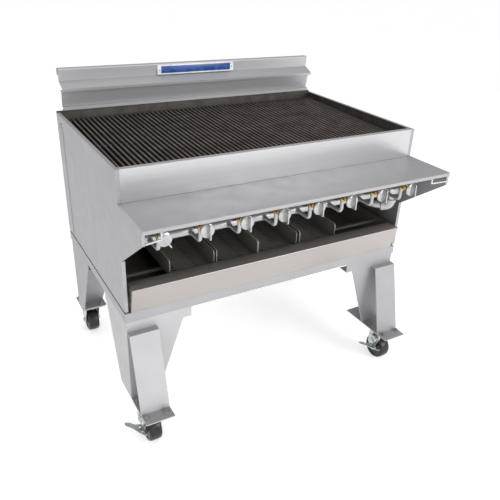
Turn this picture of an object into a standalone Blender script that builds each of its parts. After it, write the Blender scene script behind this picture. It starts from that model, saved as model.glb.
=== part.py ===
"""Eight-burner gas charbroiler on four caster legs, built as separate named parts.

Metres, +Z up, front towards -Y.  The world origin is on the floor, under the
middle of the machine's overall box.  Parts are dimensioned in the chassis frame, whose
y = 0 is the outer face of the front panel, and hang from one empty that
carries that frame to its place in the world.
"""
import math

import bmesh
import bpy
from mathutils import Matrix, Vector

# ---- driving dimensions -------------------------------------------------
WIDTH = 1.100                 # over the side panels
DEPTH = 0.660                 # front panel to the back of the side panels
CHASSIS_TOP = 0.950           # rim around the cooking grates
CHASSIS_BOTTOM = 0.490        # lower edge of the side panels
SHELF_TOP = 0.850             # work shelf in front of the grates
SHELF_FRONT = -0.1945         # foremost line of the shelf's nosing
KNEE_Z = 0.667                # where the side panel's slanted edge meets the front
TIP_Z = 0.806                 # lower corner of the side panel's tip
RAIL_TOP = 0.482              # base frame rails
RAIL_BOTTOM = 0.449
BRACKET_BOTTOM = 0.412        # leg brackets under the rails
FOOT_TOP = 0.145              # upper face of the foot plates
SPLASH_TOP = 1.099            # top of the backsplash
VALVE_COUNT = 8
FIRST_VALVE_X = -0.478
VALVE_PITCH = 0.1267
VALVE_Z = 0.802               # valves and knobs share one height
MANIFOLD_Y = -0.042           # the manifold lies behind and below the valves
MANIFOLD_Z = 0.748

SHEET = 0.0025                # chassis sheet thickness
THIN = 0.0015                 # light inner sheet
GAP = 0.0003                  # daylight between pieces that touch
CHASSIS_AT = (0.01817, -0.25838, 0.0)   # centres the overall box on the world origin
HALF = WIDTH / 2

# ---- details ------------------------------------------------------------
FLANGE = 0.012                # folded edges of the side panels
REAR_FLANGE = 0.020
PANEL_RETURN = 0.018          # depth of the front panel's folded top
TIP_Y = -0.1915               # front edge of the side panel's tip
NOSING_DROP = 0.0115
NOSING_RADIUS = 0.0045
RAIL_WIDTH = 0.030
LINER_X = 0.5455              # outer face of the firebox liner's sides
LINER_FRONT = 0.020
LINER_REAR = 0.648
LINER_BOTTOM = 0.760
MIXER_PASS_TOP = 0.812        # the liner's front wall starts above the mixers
BURNER_BOTTOM = 0.780
BURNER_TOP = 0.812
BURNER_HALF = 0.020
MIXER_Z = 0.796
MIXER_RADIUS = 0.0135
MIXER_FRONT = -0.094
PIPE_RADIUS = 0.0134          # three-quarter-inch gas pipe
FITTING_RADIUS = 0.0175       # caps, tee and elbow
COLLAR_RADIUS = 0.0200
BOSS_LENGTH = 0.003
TEE_X = 0.446
INLET_Z = 0.687
INLET_X = 0.404
TUBE_RADIUS = 0.006
TUBE_Y = -0.119               # the feed tubes rise here into the valves
VALVE_FRONT = -0.142
VALVE_BACK = -0.108
ORIFICE_Y = -0.0985
KNOB_BACK = -0.162
KNOB_RADIUS = 0.0224
GRIP_THICKNESS = 0.004
OPEN_KNOB_ANGLE = math.radians(33)   # the first knob stands partly open
GRATE_COUNT = 6
GRATE_PITCH = 0.1767
GRATE_WIDTH = 0.1760
GRATE_FRONT = 0.028
GRATE_DEPTH = 0.605
GRATE_HEIGHT = 0.025
GRATE_FRONT_BOTTOM = 0.890
GRATE_FALL = 0.017            # the grates drop towards the front by this much
BAR_COUNT = 10
SLOT_WIDTH = 0.005
TRAY_LEFTS = (-0.3850, -0.2185, -0.0580, 0.1125)
TRAY_WIDTH = 0.158
TRAY_FRONT = 0.036
TRAY_DEPTH = 0.555
TRAY_BOTTOM = 0.557
TRAY_WALL = 0.059
TRAY_CORNER = 0.012
PAN_HALF = 0.530
PAN_BOTTOM = 0.4823
PAN_RIM = 0.575
PAN_REAR = 0.600
PAN_LIP_FRONT = -0.025
PAN_LIP_BACK = 0.030
PAN_SHEET = 0.002
TRAY_BAR_YS = (0.100, 0.500)    # bars across the pan that carry the trays
TRAY_BAR_HEIGHT = 0.008
LEG_INSET = 0.0030            # brackets stand back from the rails' faces
BRACKET_LENGTH = 0.222
BRACKET_DEPTH = 0.040
PLATE = 0.004                 # leg plate thickness
LEG_TOP_REACH = 0.211         # how far the leg plates reach at the bracket
LEG_FOOT_REACH = 0.106        # and at the foot
FOOT_WIDTH = 0.098
FOOT_FRONT = -0.139
FOOT_BACK = 0.105
BRACE_TOP_Y = -0.022          # the leaning brace in front of each front leg
BRACE_FOOT_Y = -0.092
REAR_FOOT_FRONT = 0.595
REAR_FOOT_BACK = 0.705
CASTER_X = HALF - FOOT_WIDTH / 2
FRONT_CASTER_Y = -0.064
REAR_CASTER_Y = 0.650
CASTER_PLATE_HALF = (0.0460, 0.0540)
CASTER_PLATE_BOTTOM = 0.137
BOLT_SPREAD = (0.0335, 0.0425)
BOLT_RADIUS = 0.008
WHEEL_RADIUS = 0.050
WHEEL_SIDES = 32
WHEEL_Z = WHEEL_RADIUS * math.cos(math.pi / WHEEL_SIDES)   # a flat facet rests on the floor
WHEEL_HALF = 0.023
WHEEL_BORE = 0.0066
AXLE_RADIUS = 0.006
TRAIL = 0.012                 # wheel centre behind the swivel axis
FORK_INNER = 0.026
FORK_OUTER = 0.029
BRAKE_PIVOT = (-0.0320, -0.005, 0.0640)   # from the swivel axis
BRAKE_REACH = 0.054
BRAKE_TILT = math.radians(9)
TIP_FLANGE = 0.009            # folded front edge of the side panel's tip
GUARD_Y = -0.1920
GUARD_RADIUS = 0.003
GUARD_LEFT = (-0.4960, 0.8165, 0.8110)   # x of the drop, heights of the low run's two ends
GUARD_RIGHT = (0.4710, 0.8225, 0.8200)

FINISHES = {                  # colour, roughness, metallic
    "satin_steel": ((0.60, 0.60, 0.62), 0.42, 0.75),
    "silver_paint": ((0.46, 0.46, 0.47), 0.50, 0.30),
    "liner_steel": ((0.075, 0.077, 0.080), 0.55, 0.60),
    "cast_iron": ((0.070, 0.058, 0.050), 0.62, 0.45),
    "warm_steel": ((0.52, 0.48, 0.45), 0.35, 0.85),
    "tray_steel": ((0.055, 0.054, 0.048), 0.48, 0.70),
    "brass": ((0.56, 0.36, 0.13), 0.32, 0.95),
    "chrome": ((0.80, 0.80, 0.81), 0.12, 1.00),
    "zinc": ((0.50, 0.55, 0.58), 0.30, 0.90),
    "tyre": ((0.028, 0.024, 0.022), 0.55, 0.00),
    "blank_plate": ((0.07, 0.16, 0.42), 0.35, 0.00),
}


# ---- shapes -------------------------------------------------------------
def prism(outline, axis, start, end):
    """A closed solid: a 2-D outline carried along one axis."""
    place = {"X": lambda a, b, t: (t, a, b),
             "Y": lambda a, b, t: (a, t, b),
             "Z": lambda a, b, t: (a, b, t)}[axis]
    bm = bmesh.new()
    rings = [[bm.verts.new(place(a, b, t)) for a, b in outline] for t in (start, end)]
    bm.faces.new(rings[0])
    bm.faces.new(rings[1])
    bridge(bm, rings[0], rings[1])
    bmesh.ops.recalc_face_normals(bm, faces=bm.faces)
    return bm


def bridge(bm, ring_a, ring_b):
    """Quads between two closed rings of equal length."""
    count = len(ring_a)
    for i in range(count):
        j = (i + 1) % count
        bm.faces.new((ring_a[i], ring_a[j], ring_b[j], ring_b[i]))


def box(x_range, y_range, z_range):
    """A box from three (low, high) pairs given in either order."""
    (x0, x1), (y0, y1), (z0, z1) = (sorted(r) for r in (x_range, y_range, z_range))
    return prism(((x0, y0), (x1, y0), (x1, y1), (x0, y1)), "Z", z0, z1)


def fold(points, thickness):
    """The outline of sheet metal folded along the points, thickness to their left."""
    path = [Vector(p) for p in points]
    offsets = []
    for i, point in enumerate(path):
        before = (point - path[i - 1]).normalized() if i > 0 else None
        after = (path[i + 1] - point).normalized() if i < len(path) - 1 else None
        before = before or after
        after = after or before
        normals = [Vector((-d.y, d.x)) for d in (before, after)]
        mitre = (normals[0] + normals[1]).normalized()
        offsets.append(point + mitre * thickness / mitre.dot(normals[0]))
    return [tuple(p) for p in path] + [tuple(p) for p in reversed(offsets)]


def arc(centre, radius, first, last, steps):
    """Points on an arc, angles in degrees."""
    angles = [math.radians(first + (last - first) * i / steps) for i in range(steps + 1)]
    return [(centre[0] + radius * math.cos(a), centre[1] + radius * math.sin(a)) for a in angles]


def rounded_path(corners, radius, steps=4):
    """A 3-D path through the corners, each inner corner turned on an arc."""
    points = [Vector(c) for c in corners]
    path = [points[0]]
    for before, corner, after in zip(points, points[1:], points[2:]):
        to_before = (before - corner).normalized()
        to_after = (after - corner).normalized()
        half_angle = to_before.angle(to_after) / 2
        reach = radius / math.tan(half_angle)
        centre = corner + (to_before + to_after).normalized() * radius / math.sin(half_angle)
        start = corner + to_before * reach - centre
        sweep = math.pi - 2 * half_angle
        turn_axis = start.cross(corner + to_after * reach - centre).normalized()
        for i in range(steps + 1):
            path.append(centre + Matrix.Rotation(sweep * i / steps, 3, turn_axis) @ start)
    path.append(points[-1])
    return path


def tube(path, radius, sides=12):
    """A round bar swept along a 3-D path, with flat ends."""
    path = [Vector(p) for p in path]
    bm = bmesh.new()
    rings = []
    frame_x = (path[1] - path[0]).normalized().orthogonal().normalized()
    for i, point in enumerate(path):
        before = (point - path[max(i - 1, 0)]).normalized()
        after = (path[min(i + 1, len(path) - 1)] - point).normalized()
        along = (before + after).normalized()
        frame_x = (frame_x - along * frame_x.dot(along)).normalized()
        frame_y = along.cross(frame_x)
        angles = [2 * math.pi * k / sides for k in range(sides)]
        rings.append([bm.verts.new(point + (frame_x * math.cos(a) + frame_y * math.sin(a)) * radius)
                      for a in angles])
    for ring_a, ring_b in zip(rings, rings[1:]):
        bridge(bm, ring_a, ring_b)
    bm.faces.new(rings[0])
    bm.faces.new(rings[-1])
    bmesh.ops.recalc_face_normals(bm, faces=bm.faces)
    return bm


def turned(profile, axis, centre, sides, closed=False):
    """A turned solid: (radius, position) pairs along an axis; closed makes a ring."""
    place = {"X": lambda t, c, s: (t, c, s),
             "Y": lambda t, c, s: (c, t, s),
             "Z": lambda t, c, s: (c, s, t)}[axis]
    bm = bmesh.new()
    angles = [2 * math.pi * (k + 0.5) / sides for k in range(sides)]
    rings = [[bm.verts.new(Vector(centre) + Vector(place(t, r * math.cos(a), r * math.sin(a))))
              for a in angles] for r, t in profile]
    for ring_a, ring_b in zip(rings, rings[1:]):
        bridge(bm, ring_a, ring_b)
    if closed:
        bridge(bm, rings[-1], rings[0])
    else:
        bm.faces.new(rings[0])
        bm.faces.new(rings[-1])
    bmesh.ops.recalc_face_normals(bm, faces=bm.faces)
    return bm


def cylinder(axis, centre, radius, start, end, sides=16):
    """A plain round bar along one axis; start and end are measured from the centre."""
    return turned(((radius, start), (radius, end)), axis, centre, sides)


def joined(shapes):
    """Several shapes that don't touch each other, in one mesh."""
    whole = bmesh.new()
    for shape in shapes:
        mesh = bpy.data.meshes.new("joined")
        shape.to_mesh(mesh)
        shape.free()
        whole.from_mesh(mesh)
        bpy.data.meshes.remove(mesh)
    return whole


# ---- objects ------------------------------------------------------------
def finish(name):
    """The named finish as a material, made once."""
    if name in bpy.data.materials:
        return bpy.data.materials[name]
    colour, roughness, metallic = FINISHES[name]
    material = bpy.data.materials.new(name)
    material.use_nodes = True
    shader = material.node_tree.nodes["Principled BSDF"]
    shader.inputs["Base Color"].default_value = (*colour, 1.0)
    shader.inputs["Roughness"].default_value = roughness
    shader.inputs["Metallic"].default_value = metallic
    material.diffuse_color = (*colour, 1.0)
    return material


def loose_object(name, shape):
    mesh = bpy.data.meshes.new(name)
    shape.to_mesh(mesh)
    shape.free()
    obj = bpy.data.objects.new(name, mesh)
    bpy.context.scene.collection.objects.link(obj)
    return obj


def combine(obj, shape, operation):
    """Joins a shape to an object, or cuts it away, with an exact Boolean."""
    helper = loose_object("helper", shape)
    modifier = obj.modifiers.new("combine", "BOOLEAN")
    modifier.operation = operation
    modifier.solver = "EXACT"
    modifier.object = helper
    evaluated = obj.evaluated_get(bpy.context.evaluated_depsgraph_get())
    result = bpy.data.meshes.new_from_object(evaluated)
    obj.modifiers.clear()
    old_mesh = obj.data
    helper_mesh = helper.data
    obj.data = result
    bpy.data.objects.remove(helper)
    bpy.data.meshes.remove(helper_mesh)
    bpy.data.meshes.remove(old_mesh)
    result.name = obj.name


def part(name, shapes, finish_name, cuts=(), extras=(), at=(0, 0, 0), parent=None, smooth=False):
    """One named part: shapes fused, cuts removed, extras added, placed in its parent's frame."""
    obj = loose_object(name, shapes[0])
    for shape in shapes[1:]:
        combine(obj, shape, "UNION")
    for shape in cuts:
        combine(obj, shape, "DIFFERENCE")
    for shape in extras:
        combine(obj, shape, "UNION")
    obj.data.materials.clear()
    obj.data.materials.append(finish(finish_name))
    if smooth:
        obj.data.shade_smooth()
        obj.data.set_sharp_from_angle(angle=math.radians(35))
    obj.location = at
    obj.parent = parent
    return obj


def empty(name, at, parent=None):
    frame = bpy.data.objects.new(name, None)
    bpy.context.scene.collection.objects.link(frame)
    frame.location = at
    frame.parent = parent
    return frame


# ---- chassis ------------------------------------------------------------
def side_panel(name, side, chassis):
    """Side of the chassis with its folded edges; side is -1 on the left, +1 on the right."""
    under_shelf = SHELF_TOP - SHEET + GAP / 2
    outline = ((DEPTH, CHASSIS_BOTTOM), (0, CHASSIS_BOTTOM), (0, KNEE_Z), (TIP_Y, TIP_Z),
               (TIP_Y, SHELF_TOP - NOSING_RADIUS), (TIP_Y + 0.004, under_shelf), (0, under_shelf),
               (0, CHASSIS_TOP), (DEPTH, CHASSIS_TOP))
    outer = side * HALF
    flange_x = (side * (HALF - FLANGE), outer)
    shapes = [prism(outline, "X", side * (HALF - SHEET), outer),
              box(flange_x, (0, DEPTH), (CHASSIS_TOP - SHEET, CHASSIS_TOP)),
              box(flange_x, (0, SHEET), (SHELF_TOP + GAP, CHASSIS_TOP)),
              box(flange_x, (0, SHEET), (CHASSIS_BOTTOM, KNEE_Z)),
              box((side * (HALF - TIP_FLANGE), outer), (TIP_Y, TIP_Y + SHEET),
                  (TIP_Z, SHELF_TOP - NOSING_RADIUS - GAP)),
              box((side * (HALF - REAR_FLANGE), outer), (DEPTH - SHEET, DEPTH),
                  (CHASSIS_BOTTOM, CHASSIS_TOP))]
    part(name, shapes, "silver_paint", parent=chassis)


def front_panel(chassis):
    half = HALF - FLANGE - GAP
    folded = fold(((0, SHELF_TOP + GAP), (0, CHASSIS_TOP), (PANEL_RETURN, CHASSIS_TOP)), -SHEET)
    part("front_panel", [prism(folded, "X", -half, half)], "satin_steel", parent=chassis)


def work_shelf(chassis):
    """Flat shelf whose front rolls over into a rounded nosing."""
    turn_centre = (SHELF_FRONT + NOSING_RADIUS, SHELF_TOP - NOSING_RADIUS)
    line = [(-GAP, SHELF_TOP)] + arc(turn_centre, NOSING_RADIUS, 90, 180, 4)
    line.append((SHELF_FRONT, SHELF_TOP - NOSING_DROP))
    part("work_shelf", [prism(fold(line, 0.002), "X", -HALF, HALF)], "silver_paint",
         parent=chassis)


def rear_panel(chassis):
    inner = DEPTH + GAP
    sheet = box((-HALF, HALF), (inner, inner + THIN), (CHASSIS_BOTTOM, CHASSIS_TOP + 0.005))
    pipe_hole = cylinder("Y", (INLET_X, inner, INLET_Z), PIPE_RADIUS + 0.004, -0.01, 0.01, 20)
    part("rear_panel", [sheet], "satin_steel", cuts=[pipe_hole], parent=chassis)


def base_frame(chassis):
    """Rail frame under the chassis, with an inset lip and two runners for the drip pan."""
    lip_x = HALF - 0.006
    lip_z = (RAIL_TOP - 0.002, CHASSIS_BOTTOM - GAP)
    runner_z = (RAIL_BOTTOM + 0.015, RAIL_TOP)
    ring = box((-HALF, HALF), (0, DEPTH), (RAIL_BOTTOM, RAIL_TOP))
    hollow = box((-HALF + RAIL_WIDTH, HALF - RAIL_WIDTH), (RAIL_WIDTH, DEPTH - RAIL_WIDTH),
                 (RAIL_BOTTOM - 0.01, RAIL_TOP + 0.01))
    extras = [box((-lip_x, lip_x), (DEPTH - 0.006, DEPTH - 0.004), lip_z)]
    for side in (-1, 1):
        extras.append(box((side * lip_x, side * (lip_x - SHEET)), (0.004, DEPTH - 0.0045), lip_z))
        extras.append(box((side * 0.28, side * 0.32), (0.01, DEPTH - 0.01), runner_z))
    part("base_frame", [ring], "silver_paint", cuts=[hollow], extras=extras, parent=chassis)


def firebox_liner(chassis):
    """Inner walls around the burners, the ledges for the grates and two burner bars."""
    inner_x = LINER_X - THIN
    rear_ledge_top = GRATE_FRONT_BOTTOM + GRATE_FALL - 0.0020
    walls = box((-LINER_X, LINER_X), (LINER_FRONT, LINER_REAR), (LINER_BOTTOM, CHASSIS_TOP - 0.0035))
    hollow = box((-inner_x, inner_x), (LINER_FRONT + THIN, LINER_REAR - THIN),
                 (LINER_BOTTOM - 0.01, CHASSIS_TOP))
    mixer_pass = box((-inner_x, inner_x), (LINER_FRONT - 0.01, LINER_FRONT + 0.01),
                     (LINER_BOTTOM - 0.01, MIXER_PASS_TOP))
    x_range = (-inner_x - 0.0005, inner_x + 0.0005)
    upstand_x = HALF - FLANGE - GAP
    upstand_y = (LINER_REAR - THIN + 0.0003, LINER_REAR - 0.0003)
    extras = [
        box((-upstand_x, upstand_x), upstand_y, (0.940, 0.957)),
        box(x_range, (LINER_FRONT + 0.0005, LINER_FRONT + 0.025), (0.8870, GRATE_FRONT_BOTTOM - GAP)),
        box(x_range, (LINER_REAR - 0.030, LINER_REAR - 0.0005), (rear_ledge_top - 0.003, rear_ledge_top)),
        box(x_range, (0.060, 0.080), (LINER_BOTTOM + 0.002, BURNER_BOTTOM - GAP)),
        box(x_range, (0.560, 0.580), (LINER_BOTTOM + 0.002, BURNER_BOTTOM - GAP))]
    part("firebox_liner", [walls], "liner_steel", cuts=[hollow, mixer_pass], extras=extras,
         parent=chassis)


def backsplash(chassis):
    """Upper channel with its forward nose, lower plate with its ledge, and a blank plate."""
    half = HALF - 0.022
    upper_line = [(0.688, 1.075), (0.688, SPLASH_TOP)]
    upper_line += arc((0.669, SPLASH_TOP - 0.004), 0.004, 90, 180, 3)
    upper_line += [(0.669, 1.057), (0.6245, 1.037), (0.6260, 1.027), (0.6600, 1.0250)]
    part("backsplash_upper", [prism(fold(upper_line, 0.002), "X", -half, half)], "satin_steel",
         parent=chassis)
    lower_line = [(0.6565, 0.925), (0.6565, 0.9590), (0.6410, 0.9590), (0.6410, 0.9705),
                  (0.6560, 0.9705), (0.6450, 1.0240), (0.6595, 1.0240)]
    part("backsplash_lower", [prism(fold(lower_line, -THIN), "X", -half, half)], "satin_steel",
         parent=chassis)
    part("name_plate", [box((-0.160, 0.166), (0.6615, 0.6645), (1.0585, 1.0945))], "blank_plate",
         parent=chassis)


def guard_rod(name, side, drop_x, inner_z, outer_z, chassis):
    """Bent rod that hangs under the shelf's nosing and turns out to the side panel's tip."""
    top_z = SHELF_TOP - NOSING_DROP - GAP
    end_x = side * (HALF - TIP_FLANGE - GAP)
    corners = ((drop_x, GUARD_Y, top_z), (drop_x, GUARD_Y, inner_z), (end_x, GUARD_Y, outer_z))
    part(name, [tube(rounded_path(corners, 0.004, 3), GUARD_RADIUS, 8)], "zinc", parent=chassis,
         smooth=True)


# ---- gas train ----------------------------------------------------------
def valve_x(index):
    return FIRST_VALVE_X + VALVE_PITCH * index


def manifold_pipe(chassis):
    """Gas manifold with end caps, the feed tee and a threaded boss for each feed tube."""
    centre = (0, MANIFOLD_Y, MANIFOLD_Z)
    shapes = [cylinder("X", centre, PIPE_RADIUS, -0.506, 0.490, 20),
              cylinder("X", centre, FITTING_RADIUS, -0.514, -0.492, 20),
              cylinder("X", centre, FITTING_RADIUS, TEE_X - 0.024, TEE_X + 0.024, 20),
              cylinder("X", centre, 0.0110, 0.486, 0.497, 6)]
    for index in range(VALVE_COUNT):
        boss = (valve_x(index), MANIFOLD_Y, MANIFOLD_Z)
        shapes.append(cylinder("Y", boss, 0.0085, -PIPE_RADIUS - BOSS_LENGTH, 0, 12))
    part("manifold_pipe", shapes, "silver_paint", parent=chassis, smooth=True)


def gas_inlet(chassis):
    """Riser, elbow and supply pipe that leaves through the rear panel."""
    top = (TEE_X, MANIFOLD_Y, MANIFOLD_Z - FITTING_RADIUS - GAP)
    turn = (TEE_X, MANIFOLD_Y, INLET_Z)
    run_y = MANIFOLD_Y + (TEE_X - INLET_X)
    route = (top, turn, (INLET_X, run_y, INLET_Z), (INLET_X, 0.700, INLET_Z))
    elbow = ((TEE_X, MANIFOLD_Y, INLET_Z + 0.028), turn,
             (TEE_X - 0.020, MANIFOLD_Y + 0.020, INLET_Z))
    shapes = [tube(rounded_path(route, 0.020), PIPE_RADIUS, 16),
              tube(rounded_path(elbow, 0.020), FITTING_RADIUS, 16),
              cylinder("Z", turn, COLLAR_RADIUS, 0.018, 0.028, 16),
              tube(((TEE_X - 0.014, MANIFOLD_Y + 0.014, INLET_Z),
                    (TEE_X - 0.022, MANIFOLD_Y + 0.022, INLET_Z)), COLLAR_RADIUS, 16),
              cylinder("Y", (INLET_X, 0, INLET_Z), 0.0190, 0.672, 0.695, 6)]
    part("gas_inlet", shapes, "silver_paint", parent=chassis, smooth=True)


def burner_valve(index, chassis):
    """Brass gas cock with its stem and orifice, and the bent tube that feeds it."""
    x = valve_x(index)
    boss_front = MANIFOLD_Y - PIPE_RADIUS - BOSS_LENGTH
    route = ((0, boss_front - GAP, MANIFOLD_Z), (0, TUBE_Y, MANIFOLD_Z), (0, TUBE_Y, VALVE_Z - 0.010))
    shapes = [cylinder("Y", (0, 0, VALVE_Z), 0.0105, VALVE_FRONT, VALVE_BACK, 6),
              cylinder("Z", (0, TUBE_Y, 0), 0.0085, VALVE_Z - 0.016, VALVE_Z, 12),
              cylinder("Y", (0, 0, VALVE_Z), 0.0060, VALVE_BACK - 0.001, ORIFICE_Y, 12),
              cylinder("Y", (0, 0, VALVE_Z), 0.0040, KNOB_BACK + GAP, VALVE_FRONT + 0.001, 10),
              tube(rounded_path(route, 0.013), TUBE_RADIUS, 10)]
    part(f"burner_valve_{index + 1}", shapes, "brass", at=(x, 0, 0), parent=chassis, smooth=True)


def control_knob(index, chassis):
    """Round shallow-domed disc with a grip plate across it; its origin is on the stem's axis."""
    disc = turned(((KNOB_RADIUS, 0), (KNOB_RADIUS, -0.0050), (0.0200, -0.0075), (0.0140, -0.0095),
                   (0.0060, -0.0105)), "Y", (0, 0, 0), 24)
    grip = prism(((-0.003, 0.0205), (-0.0180, 0.0215), (-0.0240, 0.0195), (-0.0255, 0.0160),
                  (-0.0265, -0.0190), (-0.0245, -0.0220), (-0.0200, -0.0225), (-0.003, -0.0205)),
                 "X", -GRIP_THICKNESS / 2, GRIP_THICKNESS / 2)
    knob = part(f"control_knob_{index + 1}", [disc, grip], "chrome",
                at=(valve_x(index), KNOB_BACK, VALVE_Z), parent=chassis, smooth=True)
    if index == 0:
        knob.rotation_euler = (0.0, -OPEN_KNOB_ANGLE, 0.0)


def burner_twin(index, chassis):
    """Cast burner with two legs, each with its own mixer tube, joined by two cross pieces."""
    left = valve_x(2 * index)
    legs = []
    for x in (0.0, VALVE_PITCH):
        section = ((x - BURNER_HALF, BURNER_BOTTOM), (x + BURNER_HALF, BURNER_BOTTOM),
                   (x + BURNER_HALF, BURNER_TOP - 0.010), (x + 0.010, BURNER_TOP),
                   (x - 0.010, BURNER_TOP), (x - BURNER_HALF, BURNER_TOP - 0.010))
        legs.append(prism(section, "Y", 0.030, 0.600))
        mixer = ((0.0165, MIXER_FRONT), (MIXER_RADIUS, MIXER_FRONT + 0.012), (MIXER_RADIUS, 0.050))
        legs.append(turned(mixer, "Y", (x, 0, MIXER_Z), 12))
    bars = [box((0, VALVE_PITCH), y_range, (BURNER_BOTTOM, BURNER_BOTTOM + 0.015))
            for y_range in ((0.270, 0.300), (0.575, 0.598))]
    part(f"burner_twin_{index + 1}", legs[:2] + bars + legs[2:], "cast_iron", at=(left, 0, 0),
         parent=chassis)


# ---- removable pieces ---------------------------------------------------
def cooking_grate(index, chassis):
    """Cast grate of ten bars on end and middle ribs, sloping towards the front."""
    bar_pitch = GRATE_WIDTH / BAR_COUNT
    block = box((0, GRATE_WIDTH), (0, GRATE_DEPTH), (0, GRATE_HEIGHT))
    middle = GRATE_DEPTH / 2
    slots = []
    for bar in range(1, BAR_COUNT):
        x_range = (bar * bar_pitch - SLOT_WIDTH / 2, bar * bar_pitch + SLOT_WIDTH / 2)
        for y_range in ((0.010, middle - 0.006), (middle + 0.006, GRATE_DEPTH - 0.010)):
            slots.append(box(x_range, y_range, (-0.01, GRATE_HEIGHT + 0.01)))
    left = (index - GRATE_COUNT / 2) * GRATE_PITCH + (GRATE_PITCH - GRATE_WIDTH) / 2
    grate = part(f"cooking_grate_{index + 1}", [block], "cast_iron", cuts=[joined(slots)],
                 at=(left, GRATE_FRONT, GRATE_FRONT_BOTTOM), parent=chassis)
    grate.rotation_euler = (math.asin(GRATE_FALL / GRATE_DEPTH), 0.0, 0.0)


def log_tray(index, chassis):
    """U-shaped tray of thin sheet with rounded upper front corners."""
    back = TRAY_FRONT + TRAY_DEPTH
    bottom = TRAY_BOTTOM
    wall = [(back, bottom), (back, bottom + TRAY_WALL)]
    wall += arc((TRAY_FRONT + TRAY_CORNER, bottom + TRAY_WALL - TRAY_CORNER), TRAY_CORNER, 90, 180, 3)
    wall.append((TRAY_FRONT, bottom))
    shapes = [box((0, TRAY_WIDTH), (TRAY_FRONT, back), (bottom, bottom + THIN)),
              prism(wall, "X", 0, THIN),
              prism(wall, "X", TRAY_WIDTH - THIN, TRAY_WIDTH)]
    part(f"log_tray_{index + 1}", shapes, "tray_steel", at=(TRAY_LEFTS[index], 0, 0), parent=chassis)


def drip_pan(chassis):
    """Wide pan with a leaning front, a broad lip for a handle and bars under the trays."""
    line = ((PAN_REAR, PAN_RIM), (PAN_REAR, PAN_BOTTOM), (0, PAN_BOTTOM), (PAN_LIP_FRONT, PAN_RIM),
            (PAN_LIP_BACK, PAN_RIM), (PAN_LIP_BACK, PAN_RIM - 0.010))
    side = ((PAN_REAR, PAN_RIM), (PAN_REAR, PAN_BOTTOM), (0, PAN_BOTTOM), (PAN_LIP_FRONT, PAN_RIM))
    shapes = [prism(fold(line, -PAN_SHEET), "X", -PAN_HALF, PAN_HALF),
              prism(side, "X", -PAN_HALF, -PAN_HALF + PAN_SHEET),
              prism(side, "X", PAN_HALF - PAN_SHEET, PAN_HALF)]
    bar_x = PAN_HALF - PAN_SHEET / 2
    bar_top = TRAY_BOTTOM - GAP
    for y in TRAY_BAR_YS:
        shapes.append(box((-bar_x, bar_x), (y, y + 0.012), (bar_top - TRAY_BAR_HEIGHT, bar_top)))
    part("drip_pan", shapes, "warm_steel", parent=chassis)


# ---- legs and casters ---------------------------------------------------
def leg(name, side, front, chassis):
    """Bracket of two channels, two tapered plates, foot plate and caster plate in one weldment."""
    top = RAIL_BOTTOM - GAP
    outer = side * (HALF - LEG_INSET)
    face_y = LEG_INSET if front else DEPTH - LEG_INSET
    inward = 1 if front else -1
    channel_y = ((face_y + inward * BRACKET_DEPTH, top), (face_y, top),
                 (face_y, BRACKET_BOTTOM), (face_y + inward * BRACKET_DEPTH, BRACKET_BOTTOM))
    channel_x = ((outer - side * BRACKET_DEPTH, top), (outer, top),
                 (outer, BRACKET_BOTTOM), (outer - side * BRACKET_DEPTH, BRACKET_BOTTOM))
    foot_y = (FOOT_FRONT, FOOT_BACK) if front else (REAR_FOOT_FRONT, REAR_FOOT_BACK)
    caster_y = FRONT_CASTER_Y if front else REAR_CASTER_Y
    foot_reach = LEG_FOOT_REACH if front else DEPTH - REAR_FOOT_FRONT + 0.007
    plate_y = ((face_y, BRACKET_BOTTOM), (face_y + inward * LEG_TOP_REACH, BRACKET_BOTTOM),
               (face_y + inward * foot_reach, FOOT_TOP - 0.001), (face_y, FOOT_TOP - 0.001))
    plate_x = ((outer, BRACKET_BOTTOM), (outer - side * 0.192, BRACKET_BOTTOM),
               (outer - side * 0.100, FOOT_TOP - 0.001), (outer, FOOT_TOP - 0.001))
    inner_foot_x = outer - side * FOOT_WIDTH
    shapes = [prism(fold(channel_y, inward * 0.003), "X", outer, outer - side * BRACKET_LENGTH),
              prism(fold(channel_x, side * -0.003), "Y", face_y, face_y + inward * BRACKET_LENGTH),
              prism(plate_y, "X", outer, outer - side * PLATE),
              prism(plate_x, "Y", face_y, face_y + inward * PLATE),
              box((outer, inner_foot_x), foot_y, (FOOT_TOP - PLATE, FOOT_TOP))]
    if front:
        brace = ((BRACE_TOP_Y, BRACKET_BOTTOM - 0.0005), (BRACE_TOP_Y + PLATE, BRACKET_BOTTOM - 0.0005),
                 (BRACE_FOOT_Y + PLATE, FOOT_TOP - 0.001), (BRACE_FOOT_Y, FOOT_TOP - 0.001))
        shapes.append(box((outer, inner_foot_x), (BRACE_TOP_Y, face_y + 0.001),
                          (BRACKET_BOTTOM - 0.0035, BRACKET_BOTTOM - 0.0005)))
        shapes.append(prism(brace, "X", outer, inner_foot_x))
    caster_x = side * CASTER_X
    half_x, half_y = CASTER_PLATE_HALF
    shapes.append(box((caster_x - half_x, caster_x + half_x), (caster_y - half_y, caster_y + half_y),
                      (CASTER_PLATE_BOTTOM, FOOT_TOP - PLATE + 0.0005)))
    for bolt_side in (-1, 1):
        for bolt_end in (-1, 1):
            centre = (caster_x + bolt_side * BOLT_SPREAD[0], caster_y + bolt_end * BOLT_SPREAD[1], 0)
            shapes.append(cylinder("Z", centre, BOLT_RADIUS, FOOT_TOP - 0.001, FOOT_TOP + 0.005, 6))
    part(name, shapes, "silver_paint", parent=chassis)


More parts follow.
